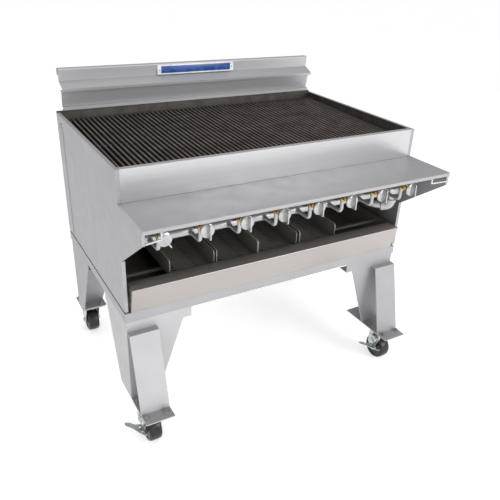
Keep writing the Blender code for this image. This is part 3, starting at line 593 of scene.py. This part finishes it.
def valve(number):
    """Brass cock with its stem and orifice, and the painted tube that rises from the manifold."""
    x = valve_x(number)
    centre = (x, 0, VALVE_Z)
    bm = bmesh.new()
    add_hexagon(bm, "Y", centre, 0.0185, VALVE_FRONT + 0.001, VALVE_BACK - 0.002)
    add_turned(bm, ((0.0076, VALVE_FRONT - 0.0003), (0.0086, VALVE_FRONT + 0.0006),
                    (0.0086, VALVE_FRONT + 0.0030)), "Y", centre, 24)
    add_turned(bm, ((0.0038, STEM_FRONT), (0.0040, VALVE_FRONT + 0.001)), "Y", centre, 20)
    add_turned(bm, ((0.0072, VALVE_Z - 0.0160), (0.0082, VALVE_Z - 0.0150), (0.0082, VALVE_Z)), "Z",
               (x, TUBE_Y, 0), 24)
    add_turned(bm, ((0.0080, VALVE_BACK - 0.0035), (0.0080, VALVE_BACK), (0.0060, VALVE_BACK + 0.0010),
                    (0.0060, ORIFICE_Y - 0.0020), (0.0030, ORIFICE_Y)), "Y", centre, 24)
    piece(f"valve_brass_{number}", bm, "chassis", brass, [f"burner_valve_{number}"])
    feed = bmesh.new()
    boss_front = MANIFOLD_Y - PIPE_RADIUS - BOSS_LENGTH
    route = ((x, boss_front + 0.002, MANIFOLD_Z), (x, TUBE_Y, MANIFOLD_Z), (x, TUBE_Y, VALVE_Z - 0.014))
    add_tube(feed, rounded_path(route, 0.013), 0.0060, 20)
    piece(f"feed_tube_{number}", feed, "chassis", pipe_paint)
    ring = bmesh.new()
    add_turned(ring, ((0.0062, boss_front - 0.0052), (0.0074, boss_front - 0.0044),
                      (0.0074, boss_front - 0.0006), (0.0062, boss_front + 0.0002)),
               "Y", (x, 0, MANIFOLD_Z), 24)
    piece(f"tube_nut_{number}", ring, "chassis", dark_joint)


def manifold():
    """Painted gas pipe with bosses, cap, plug and tee, and the run to the back of the machine."""
    low, high = chassis_box("manifold_pipe")
    centre = (0, MANIFOLD_Y, MANIFOLD_Z)
    bm = bmesh.new()
    add_turned(bm, ((PIPE_RADIUS, low.x + 0.008), (PIPE_RADIUS, high.x - 0.008)), "X", centre, 40)
    cap = ((0.0060, low.x), (0.0120, low.x + 0.001), (0.0158, low.x + 0.004), (0.0172, low.x + 0.008),
           (FITTING_RADIUS, low.x + 0.018), (0.0166, low.x + 0.021), (0.0130, low.x + 0.022))
    add_turned(bm, cap, "X", centre, 40)
    add_hexagon(bm, "X", centre, 0.0185, high.x - 0.009, high.x)
    for number in range(1, VALVE_COUNT + 1):
        face = MANIFOLD_Y - PIPE_RADIUS - BOSS_LENGTH
        boss = ((0.0110, face + 0.0075), (0.0094, face + 0.0040), (0.0086, face + 0.0022), (0.0085, face))
        add_turned(bm, boss, "Y", (valve_x(number), 0, MANIFOLD_Z), 28)
    piece("manifold_run", bm, "chassis", pipe_paint, ["manifold_pipe"])
    run_y = MANIFOLD_Y + (TEE_X - INLET_X)
    bm = bmesh.new()
    for start, end in ((-0.0240, -0.0160), (0.0160, 0.0240)):
        band = ((0.0150, start), (FITTING_RADIUS, start + 0.0010), (FITTING_RADIUS, end - 0.0010),
                (0.0150, end))
        add_turned(bm, band, "X", (TEE_X, MANIFOLD_Y, MANIFOLD_Z), 40)
    add_turned(bm, ((0.0150, -0.0170), (0.0162, -0.0110), (0.0162, 0.0110), (0.0150, 0.0170)), "X",
               (TEE_X, MANIFOLD_Y, MANIFOLD_Z), 40)
    piece("manifold_tee", bm, "chassis", pipe_paint)
    bm = bmesh.new()
    route = ((TEE_X, MANIFOLD_Y, MANIFOLD_Z - 0.016), (TEE_X, MANIFOLD_Y, INLET_Z),
             (INLET_X, run_y, INLET_Z), (INLET_X, 0.700, INLET_Z))
    add_tube(bm, rounded_path(route, 0.020), PIPE_RADIUS, 36)
    elbow = ((TEE_X, MANIFOLD_Y, INLET_Z + 0.027), (TEE_X, MANIFOLD_Y, INLET_Z),
             (TEE_X - 0.020, MANIFOLD_Y + 0.020, INLET_Z))
    add_tube(bm, rounded_path(elbow, 0.020), 0.0172, 36)
    rim = ((0.0178, 0.0170), (0.0196, 0.0185), (0.0198, 0.0265), (0.0186, 0.0280))
    add_turned(bm, rim, "Z", (TEE_X, MANIFOLD_Y, INLET_Z), 40)
    diagonal = Vector((-1, 1, 0)).normalized()
    rim_start = Vector((TEE_X, MANIFOLD_Y, INLET_Z)) + diagonal * 0.0195
    add_tube(bm, [rim_start + diagonal * t for t in (0.0, 0.0012, 0.0098, 0.0112)],
             [0.0182, 0.0197, 0.0197, 0.0184], 40)
    add_hexagon(bm, "Y", (INLET_X, 0, INLET_Z), 0.0325, 0.672, 0.695)
    piece("gas_inlet_run", bm, "chassis", pipe_paint, ["gas_inlet"])


def burner_details(number):
    """Air shutters on the mixers and the port strips along the burner's shoulders."""
    low, high = chassis_box(f"burner_twin_{number}")
    shutters = bmesh.new()
    ports = bmesh.new()
    for x in (low.x + 0.020, high.x - 0.020):
        shell = ((0.0168, MIXER_FRONT - 0.0002), (0.0188, MIXER_FRONT + 0.0004),
                 (0.0188, MIXER_FRONT + 0.0120), (0.0168, MIXER_FRONT + 0.0126))
        add_turned(shutters, shell, "Y", (x, 0, MIXER_Z), 32, closed=True)
        add_hexagon(shutters, "Z", (x, MIXER_FRONT + 0.0065, 0), 0.0070, MIXER_Z + 0.0180, MIXER_Z + 0.0215)
        for side in (-1, 1):
            for k in range(26):
                y = 0.060 + 0.020 * k
                add_turned(ports, ((0.0014, -0.0004), (0.0022, 0.0006), (0.0012, 0.0012)), "Z",
                           (x + side * 0.0150, y, BURNER_SHOULDER_Z), 10)
    piece(f"air_shutters_{number}", shutters, "chassis", burner_iron)
    piece(f"burner_ports_{number}", ports, "chassis", burner_iron)


def guard_rod(label, side, drop_x, inner_z, outer_z):
    """Bent rod under the shelf's nosing, turned out to the side panel's tip."""
    low, high = chassis_box(f"guard_rod_{label}")
    y = low.y + 0.003
    end_x = side * max(side * low.x, side * high.x)
    corners = ((drop_x, y, high.z), (drop_x, y, inner_z), (end_x, y, outer_z))
    bm = bmesh.new()
    add_tube(bm, rounded_path(corners, 0.004), 0.0029, 20)
    add_turned(bm, ((0.0030, high.z - 0.0030), (0.0042, high.z - 0.0022), (0.0042, high.z)), "Z",
               (drop_x, y, 0), 20)
    piece(f"corner_rod_{label}", bm, "chassis", rod_steel, [f"guard_rod_{label}"])


# ---- casters ------------------------------------------------------------
def caster(corner, side, end):
    """Zinc fork with its ball race, the moulded wheel, axle nuts and, in front, a brake pedal."""
    at = Vector((side * CASTER_X, CASTER_Y[end], 0))
    spot = Matrix.Translation(ORIGIN + at)
    axle_z = WHEEL_RADIUS
    bm = bmesh.new()
    race = ((0.0180, 0.1205), (0.0330, 0.1210), (0.0345, 0.1235), (0.0338, 0.1262), (0.0305, 0.1282),
            (0.0312, 0.1300), (0.0305, 0.1330), (0.0288, 0.1350), (0.0180, CASTER_PLATE_BOTTOM - 0.0004))
    add_turned(bm, race, "Z", (0, 0, 0), 40)
    crown = [(-0.0285, -0.0235), (0.0285, -0.0235), (0.0285, 0.0395), (-0.0285, 0.0395)]
    add_prism(bm, crown, "Z", CROWN_BOTTOM, CROWN_TOP, 0.0012)
    cheek = [(-0.0235, CROWN_TOP), (0.0395, CROWN_TOP), (0.0425, 0.1000), (0.0415, 0.0620)]
    cheek += arc((TRAIL, axle_z + 0.001), 0.0140, -10, -170, 8)
    cheek += [(-0.0040, 0.0620), (-0.0130, 0.0850), (-0.0220, 0.1060)]
    for x0, x1 in ((-CHEEK_OUTER, -CHEEK_INNER), (CHEEK_INNER, CHEEK_OUTER)):
        add_prism(bm, cheek, "X", x0, x1, 0.0007)
    for direction in (-1, 1):
        add_hexagon(bm, "X", (0, TRAIL, axle_z), 0.0175, direction * 0.0288, direction * 0.0350, 0.3)
        add_turned(bm, ((0.0105, direction * 0.0288), (0.0105, direction * 0.0302)), "X",
                   (0, TRAIL, axle_z), 28)
    add_turned(bm, ((0.0055, -0.0330), (0.0055, 0.0330)), "X", (0, TRAIL, axle_z), 20)
    piece(f"fork_{corner}", bm, f"caster_{corner}", zinc, [f"caster_fork_{corner}"], spot)

    wheel = bmesh.new()
    half = [(0.0068, 0.0250), (0.0150, 0.0250), (0.0178, 0.0240), (0.0190, 0.0195), (0.0250, 0.0175),
            (0.0340, 0.0178), (0.0395, 0.0205), (0.0420, 0.0222), (0.0455, 0.0212), (0.0478, 0.0185),
            (0.0490, 0.0150), (WHEEL_RADIUS, 0.0085), (WHEEL_RADIUS, 0.0)]
    profile = [(r, -t) for r, t in half] + [(r, t) for r, t in reversed(half[:-1])]
    add_turned(wheel, profile, "X", (0, 0, 0), 64, closed=True)
    piece(f"wheel_{corner}_tyre", wheel, f"wheel_{corner}", rubber,
          [f"caster_wheel_{corner}"], spot @ Matrix.Translation((0, TRAIL, axle_z)))

    if end == "front":
        brake_pedal(corner.split("_")[1], spot)
        brake_housing(corner, spot)


def brake_housing(corner, spot):
    """Stamped plate on two lugs beside the fork, with the brake's adjusting nut."""
    housing = bmesh.new()
    plate = ((-0.0120, 0.0880), (0.0240, 0.0880), (0.0300, 0.1140), (-0.0040, 0.1140))
    add_prism(housing, plate, "X", -0.0420, -0.0400, 0.0006)
    for y0, y1 in ((-0.0100, -0.0060), (0.0200, 0.0240)):
        add_box(housing, (-0.0410, -0.0285), (y0, y1), (0.0890, 0.1060), 0.0006)
    add_hexagon(housing, "X", (0, 0.0080, 0.0990), 0.0100, -0.0455, -0.0415)
    piece(f"brake_housing_{corner}", housing, f"caster_{corner}", zinc, (), spot)


def brake_pedal(label, spot):
    """Foot pedal across the fork: lug, treads near the tip and two nuts."""
    pedal = bmesh.new()
    outline = ((0.0, -0.0315), (0.0, 0.0200), (-0.0235, 0.0260), (-0.0310, 0.0330), (-0.0385, 0.0405),
               (-0.0525, 0.0440), (-0.0540, 0.0420), (-0.0540, 0.0290), (-0.0440, 0.0190),
               (-0.0340, 0.0060), (-0.0270, -0.0080), (-0.0215, -0.0190), (-0.0110, -0.0335))
    add_prism(pedal, outline, "Z", 0.0, 0.0025, 0.0007)
    add_box(pedal, (-0.0025, 0.0), (-0.031, 0.020), (-0.0025, 0.001), 0.0006)
    for k in range(4):
        x = -0.0360 - 0.0045 * k
        add_box(pedal, (x - 0.0010, x + 0.0010), (0.028 + 0.002 * k, 0.038 + 0.0012 * k),
                (0.0018, 0.0034), 0.0005)
    add_hexagon(pedal, "Z", (-0.0130, -0.0130, 0), 0.0090, 0.0020, 0.0060)
    add_hexagon(pedal, "Z", (-0.0130, 0.0120, 0), 0.0090, 0.0020, 0.0060)
    pivot = Matrix.Translation(BRAKE_PIVOT) @ Matrix.Rotation(BRAKE_PEDAL_TILT, 4, "Y")
    piece(f"brake_{label}_pedal", pedal, f"brake_{label}", zinc, [f"caster_brake_{label}"],
          spot @ pivot)


# ---- small parts of the chassis -----------------------------------------
def name_plate():
    """Blank enamelled plate with a plain field and a screw at each end."""
    low, high = chassis_box("name_plate")
    border = bmesh.new()
    add_box(border, (low.x, high.x), (low.y + 0.0008, high.y), (low.z, high.z), 0.0006)
    piece("badge_blank", border, "chassis", white_enamel, ["name_plate"])
    field = bmesh.new()
    add_box(field, (low.x + 0.015, high.x - 0.015), (low.y + 0.0003, low.y + 0.0012),
            (low.z + 0.005, high.z - 0.005), 0.0004)
    piece("badge_field", field, "chassis", blue_enamel)
    screws = bmesh.new()
    for x in (low.x + 0.0075, high.x - 0.0075):
        head = ((0.0040, 0.0010), (0.0038, 0.0002), (0.0028, -0.0004), (0.0008, -0.0007))
        add_turned(screws, head, "Y", (x, low.y + 0.0008, (low.z + high.z) / 2), 24)
    piece("badge_screws", screws, "chassis", zinc)


def screw_head(bm, axis, centre, outward, radius=0.0045):
    """A pan head with a shallow dome; outward is +1 or -1 along the axis."""
    profile = ((radius, 0.0), (radius, 0.0010 * outward), (radius * 0.85, 0.0020 * outward),
               (radius * 0.45, 0.0026 * outward), (radius * 0.10, 0.0027 * outward))
    add_turned(bm, profile, axis, centre, 20)


def chassis_screws():
    bm = bmesh.new()
    rear = chassis_box("rear_panel")[1].y
    for k in range(9):
        x = -0.52 + 0.13 * k
        for z in (0.505, 0.935):
            screw_head(bm, "Y", (x, rear, z), 1)
    for side in (-1, 1):
        for z in (0.60, 0.70, 0.80):
            screw_head(bm, "Y", (side * 0.537, rear, z), 1)
    for side in (-1, 1):
        screw_head(bm, "X", (side * HALF, 0.640, 0.925), side, 0.0035)
    piece("panel_screws", bm, "chassis", zinc)


def leg_details(label, side, front):
    """Weld beads along the plates, washers and bolt heads on the foot, bolts in the bracket."""
    face = LEG_INSET if front else DEPTH - LEG_INSET
    inward = 1 if front else -1
    outer = side * (HALF - LEG_INSET)
    inner = outer - side * 0.098
    welds = bmesh.new()
    foot_y = (0.0, 0.105) if front else (0.595, DEPTH)
    add_weld(welds, (outer - side * 0.0045, foot_y[0] + 0.003, FOOT_TOP),
             (outer - side * 0.0045, foot_y[1] - 0.002, FOOT_TOP))
    add_weld(welds, (outer - side * 0.006, face + inward * 0.0045, FOOT_TOP),
             (inner, face + inward * 0.0045, FOOT_TOP))
    add_weld(welds, (outer - side * 0.0045, face + inward * 0.0045, FOOT_TOP),
             (outer - side * 0.0045, face + inward * 0.0045, 0.408), 0.0028)
    if front:
        add_weld(welds, (outer - side * 0.002, -0.0925, FOOT_TOP), (inner + side * 0.002, -0.0925, FOOT_TOP))
    piece(f"leg_welds_{label}", welds, "chassis", weld_metal)
    bolts = bmesh.new()
    centre_y = CASTER_Y["front" if front else "rear"]
    washer = ((0.0100, FOOT_TOP - 0.0002), (0.0102, FOOT_TOP + 0.0006), (0.0096, FOOT_TOP + 0.0014))
    thread_end = ((0.0040, FOOT_TOP + 0.0060), (0.0040, FOOT_TOP + 0.0100), (0.0030, FOOT_TOP + 0.0108))
    for dx in (-1, 1):
        for dy in (-1, 1):
            at = (side * CASTER_X + dx * BOLT_SPREAD[0], centre_y + dy * BOLT_SPREAD[1], 0)
            add_turned(bolts, washer, "Z", at, 28)
            add_hexagon(bolts, "Z", at, 0.0142, FOOT_TOP + 0.0012, FOOT_TOP + 0.0068, 0.4)
            add_turned(bolts, thread_end, "Z", at, 20)
            add_hexagon(bolts, "Z", at, 0.0130, CASTER_PLATE_BOTTOM - 0.0045,
                        CASTER_PLATE_BOTTOM + 0.0005, 0.1)
    piece(f"caster_bolts_{label}", bolts, "chassis", bolt_steel)
    bracket = bmesh.new()
    for reach in (0.070, 0.180):
        add_hexagon(bracket, "Z", (outer - side * reach, face + inward * 0.020, 0), 0.0130, 0.4395, 0.4455)
        add_hexagon(bracket, "Z", (outer - side * 0.020, face + inward * reach, 0), 0.0130, 0.4395, 0.4455)
    piece(f"bracket_bolts_{label}", bracket, "chassis", zinc)


def side_ribs():
    """A pressed strip up the rear of each side panel, with a small tab above it."""
    bm = bmesh.new()
    for side in (-1, 1):
        face = side * HALF
        add_box(bm, (face, face + side * 0.0014), (0.588, 0.624), (0.500, 0.912), 0.0006)
        add_box(bm, (face, face + side * 0.0040), (0.600, 0.612), (0.9200, 0.9235), 0.0006)
    piece("side_ribs", bm, "chassis", paint)


def shelf_seams():
    """Dressed seams where the shelf's ends meet the side panels."""
    bm = bmesh.new()
    for side in (-1, 1):
        add_box(bm, (side * HALF, side * (HALF - 0.0020)), (SHELF_FRONT + 0.004, -0.001),
                (0.8500, 0.8509), 0.0004)
    piece("shelf_seams", bm, "chassis", rod_steel)


def pan_roll():
    """Rolled edge along the drip pan's front, and a thin dark sheet over the lip behind it as painted shade.
    """
    low, high = chassis_box("drip_pan")
    bm = bmesh.new()
    edge = [(x, low.y + 0.0016, high.z - 0.0014) for x in (low.x + 0.001, high.x - 0.001)]
    add_tube(bm, edge, 0.0022, 14)
    piece("drip_pan_roll", bm, "pan", warm)
    # painted shade: thin dark sheet over the lip
    lip = bmesh.new()
    add_box(lip, (low.x + 0.0010, high.x - 0.0010), (low.y + 0.0010, PAN_LIP_BACK - 0.0005),
            (high.z - 0.0002, high.z + 0.0003), 0.0002)
    piece("drip_pan_lip_shade", lip, "pan", shaded_lip_steel)


for grate_number in range(1, GRATE_COUNT + 1):
    grate(grate_number)
for tray_number in range(1, 5):
    log_tray(tray_number)
    burner_details(tray_number)
for valve_number in range(1, VALVE_COUNT + 1):
    knob(valve_number)
    valve(valve_number)
manifold()
guard_rod("left", -1, -0.4960, 0.8165, 0.8110)
guard_rod("right", 1, 0.4710, 0.8225, 0.8200)
name_plate()
chassis_screws()
pan_roll()
side_ribs()
shelf_seams()
for end_name in ("front", "rear"):
    for side_name, side_sign in (("left", -1), ("right", 1)):
        leg_details(f"{end_name}_{side_name}", side_sign, end_name == "front")
        caster(f"{end_name}_{side_name}", side_sign, end_name)


# ---- floor, light and camera --------------------------------------------
def floor():
    bm = bmesh.new()
    reach = 60.0
    bmesh.ops.create_grid(bm, x_segments=4, y_segments=4, size=reach)
    mesh = bpy.data.meshes.new("studio_floor")
    bm.to_mesh(mesh)
    bm.free()
    n = Nodes("floor_white")
    cloud = n.ranged(n.noise(1.5, 2.0), 0.3, 0.7, 0.0, 1.0)
    n.shade(Base_Color=n.blend(cloud, (0.88, 0.88, 0.88), (0.90, 0.90, 0.90)), Roughness=0.9)
    n.shade(Emission_Color=(1.0, 1.0, 1.0, 1.0), Emission_Strength=0.50)
    mesh.materials.append(n.material)
    obj = bpy.data.objects.new("studio_floor", mesh)
    bpy.context.scene.collection.objects.link(obj)


def area_light(name, at, size, power, target=(0.0, 0.2, 0.6)):
    light = bpy.data.lights.new(name, "AREA")
    light.shape = "DISK"
    light.size = size
    light.energy = power
    obj = bpy.data.objects.new(name, light)
    obj.location = ORIGIN + Vector(at)
    aim = Vector(target) - Vector(at)
    obj.rotation_mode = "QUATERNION"
    obj.rotation_quaternion = aim.to_track_quat("-Z", "Y")
    bpy.context.scene.collection.objects.link(obj)


def camera():
    """Stands front left of the machine and above it, as the photographer did."""
    yaw, pitch, roll = (math.radians(v) for v in (-30.997, -27.513, 2.668))
    forward = Vector((-math.sin(yaw) * math.cos(pitch), math.cos(yaw) * math.cos(pitch), math.sin(pitch)))
    level = forward.cross(Vector((0, 0, 1))).normalized()
    upright = level.cross(forward)
    across = level * math.cos(roll) + upright * math.sin(roll)
    up = upright * math.cos(roll) - level * math.sin(roll)
    data = bpy.data.cameras.new("camera")
    data.sensor_width = 36.0
    data.lens = 41.01
    obj = bpy.data.objects.new("camera", data)
    obj.matrix_world = Matrix.Translation(ORIGIN + Vector((-0.977, -1.439, 1.484))) @ Matrix(
        (across, up, -forward)).transposed().to_4x4()
    bpy.context.scene.collection.objects.link(obj)
    bpy.context.scene.camera = obj


def world():
    sky = bpy.data.worlds.new("studio")
    sky.use_nodes = True
    background = sky.node_tree.nodes["Background"]
    background.inputs["Color"].default_value = (1.0, 1.0, 1.0, 1.0)
    background.inputs["Strength"].default_value = 0.55
    bpy.context.scene.world = sky


floor()
world()
area_light("key_light", (2.0, -3.6, 2.1), 2.4, 88.0)
area_light("low_light", (-1.0, -3.2, 0.9), 1.8, 12.0)
area_light("fill_light", (-3.4, -1.6, 1.8), 2.4, 14.0)
area_light("top_light", (-0.3, 0.4, 3.6), 2.4, 14.0)
camera()
bpy.context.scene.view_settings.view_transform = "Standard"
